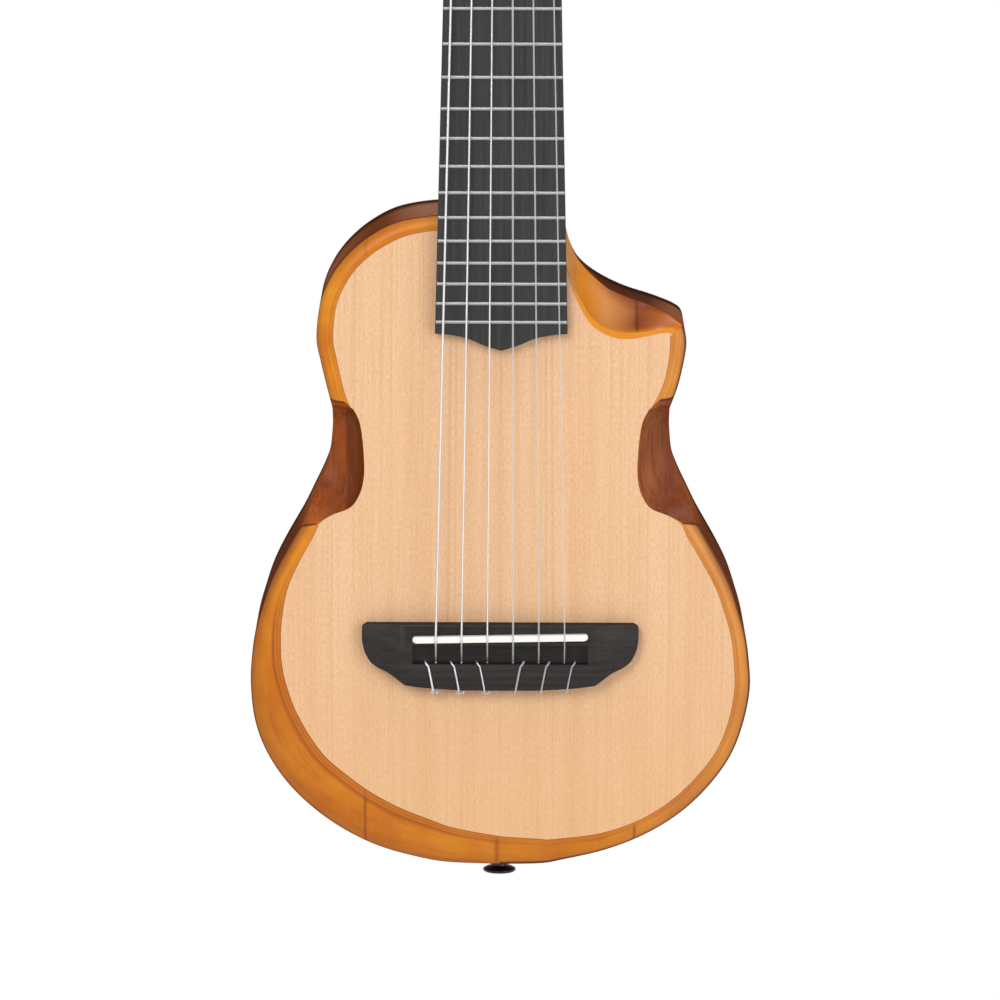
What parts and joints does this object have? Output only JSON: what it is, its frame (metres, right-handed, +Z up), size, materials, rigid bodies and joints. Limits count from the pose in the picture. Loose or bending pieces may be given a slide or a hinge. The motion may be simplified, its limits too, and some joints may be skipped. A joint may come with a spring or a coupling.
{
  "type": "guitalele",
  "caption": "Small six-string nylon guitar with a carved edge, arm bevel, cutaway, waist scoops, tie bridge and worm-geared tuners.",
  "frame": {"origin": "on the centre line at the nut, in the plane where the fretboard meets the neck, where a wall hanger carries the headstock", "axes": "+Z up along the neck towards the headstock, -Y out of the soundboard, +X towards the treble side"},
  "size_m": [0.232, 0.0855, 0.6976],
  "materials": {
    "spruce": "satin spruce top with fine straight grain",
    "edge_wood": "gloss amber wood, carved",
    "scoop_wood": "gloss dark brown wood",
    "side_wood": "gloss brown wood",
    "inner_wood": "bare pale wood",
    "neck_wood": "satin brown wood",
    "dark_wood": "bare near-black wood",
    "bone": "polished off-white",
    "nylon": "clear nylon",
    "wound_string": "silver winding",
    "black_metal": "gloss black plated",
    "steel": "plain steel"
  },
  "bodies": {
    "root": {"soundboard": "spruce", "back_plate": "side_wood", "side_bass": "side_wood", "side_treble": "side_wood", "edge_bass_upper": "edge_wood", "edge_bass_lower": "edge_wood", "edge_cutaway": "edge_wood", "edge_treble_upper": "edge_wood", "edge_treble_lower": "edge_wood", "waist_scoop_bass": "scoop_wood", "waist_scoop_treble": "scoop_wood", "head_block": "inner_wood", "tail_block": "inner_wood", "top_lining_bass": "inner_wood", "top_lining_treble": "inner_wood", "back_lining_bass": "inner_wood", "back_lining_treble": "inner_wood", "bridge_plate": "inner_wood", "top_brace_upper": "inner_wood", "top_brace_lower": "inner_wood", "fan_brace_bass": "inner_wood", "fan_brace_treble": "inner_wood", "back_brace_upper": "inner_wood", "back_brace_lower": "inner_wood", "neck": "neck_wood", "fretboard": "dark_wood", "headstock_veneer": "dark_wood", "heel_cap": "dark_wood", "truss_rod": "steel", "nut": "bone", "saddle": "bone", "bridge": "dark_wood", "end_pin": "black_metal", "tuner_plate_bass": "black_metal", "tuner_plate_treble": "black_metal", "string_1": "nylon", "ferrule_1": "black_metal", "string_2": "nylon", "ferrule_2": "black_metal", "string_3": "nylon", "ferrule_3": "black_metal", "string_4": "wound_string", "ferrule_4": "black_metal", "string_5": "wound_string", "ferrule_5": "black_metal", "string_6": "wound_string", "ferrule_6": "black_metal"},
    "knob_1": {"tuner_knob_1": "black_metal"},
    "post_1": {"tuner_post_1": "black_metal"},
    "knob_2": {"tuner_knob_2": "black_metal"},
    "post_2": {"tuner_post_2": "black_metal"},
    "knob_3": {"tuner_knob_3": "black_metal"},
    "post_3": {"tuner_post_3": "black_metal"},
    "knob_4": {"tuner_knob_4": "black_metal"},
    "post_4": {"tuner_post_4": "black_metal"},
    "knob_5": {"tuner_knob_5": "black_metal"},
    "post_5": {"tuner_post_5": "black_metal"},
    "knob_6": {"tuner_knob_6": "black_metal"},
    "post_6": {"tuner_post_6": "black_metal"}
  },
  "joints": [
    {"name": "knob_1_turn", "type": "hinge", "parent": "root", "child": "knob_1", "pos_m": [0.021, 0.02378, 0.02837], "axis": [1, 0, 0], "continuous": true},
    {"name": "post_1_turn", "type": "hinge", "parent": "root", "child": "post_1", "pos_m": [0.021, 0.00749, 0.04021], "axis": [0, -0.9781, 0.2079], "continuous": true, "deforming": ["string_1"]},
    {"name": "knob_2_turn", "type": "hinge", "parent": "root", "child": "knob_2", "pos_m": [0.021, 0.03022, 0.05869], "axis": [1, 0, 0], "continuous": true},
    {"name": "post_2_turn", "type": "hinge", "parent": "root", "child": "post_2", "pos_m": [0.021, 0.01393, 0.07054], "axis": [0, -0.9781, 0.2079], "continuous": true, "deforming": ["string_2"]},
    {"name": "knob_3_turn", "type": "hinge", "parent": "root", "child": "knob_3", "pos_m": [0.021, 0.03667, 0.08901], "axis": [1, 0, 0], "continuous": true},
    {"name": "post_3_turn", "type": "hinge", "parent": "root", "child": "post_3", "pos_m": [0.021, 0.02038, 0.10086], "axis": [0, -0.9781, 0.2079], "continuous": true, "deforming": ["string_3"]},
    {"name": "knob_4_turn", "type": "hinge", "parent": "root", "child": "knob_4", "pos_m": [-0.021, 0.03667, 0.08901], "axis": [-1, 0, 0], "continuous": true},
    {"name": "post_4_turn", "type": "hinge", "parent": "root", "child": "post_4", "pos_m": [-0.021, 0.02038, 0.10086], "axis": [0, -0.9781, 0.2079], "continuous": true, "deforming": ["string_4"]},
    {"name": "knob_5_turn", "type": "hinge", "parent": "root", "child": "knob_5", "pos_m": [-0.021, 0.03022, 0.05869], "axis": [-1, 0, 0], "continuous": true},
    {"name": "post_5_turn", "type": "hinge", "parent": "root", "child": "post_5", "pos_m": [-0.021, 0.01393, 0.07054], "axis": [0, -0.9781, 0.2079], "continuous": true, "deforming": ["string_5"]},
    {"name": "knob_6_turn", "type": "hinge", "parent": "root", "child": "knob_6", "pos_m": [-0.021, 0.02378, 0.02837], "axis": [-1, 0, 0], "continuous": true},
    {"name": "post_6_turn", "type": "hinge", "parent": "root", "child": "post_6", "pos_m": [-0.021, 0.00749, 0.04021], "axis": [0, -0.9781, 0.2079], "continuous": true, "deforming": ["string_6"]}
  ],
  "couplings": [
    {"joint": "post_1_turn", "follows": "knob_1_turn", "ratio": -0.071429},
    {"joint": "post_2_turn", "follows": "knob_2_turn", "ratio": -0.071429},
    {"joint": "post_3_turn", "follows": "knob_3_turn", "ratio": -0.071429},
    {"joint": "post_4_turn", "follows": "knob_4_turn", "ratio": 0.071429},
    {"joint": "post_5_turn", "follows": "knob_5_turn", "ratio": 0.071429},
    {"joint": "post_6_turn", "follows": "knob_6_turn", "ratio": 0.071429}
  ]
}
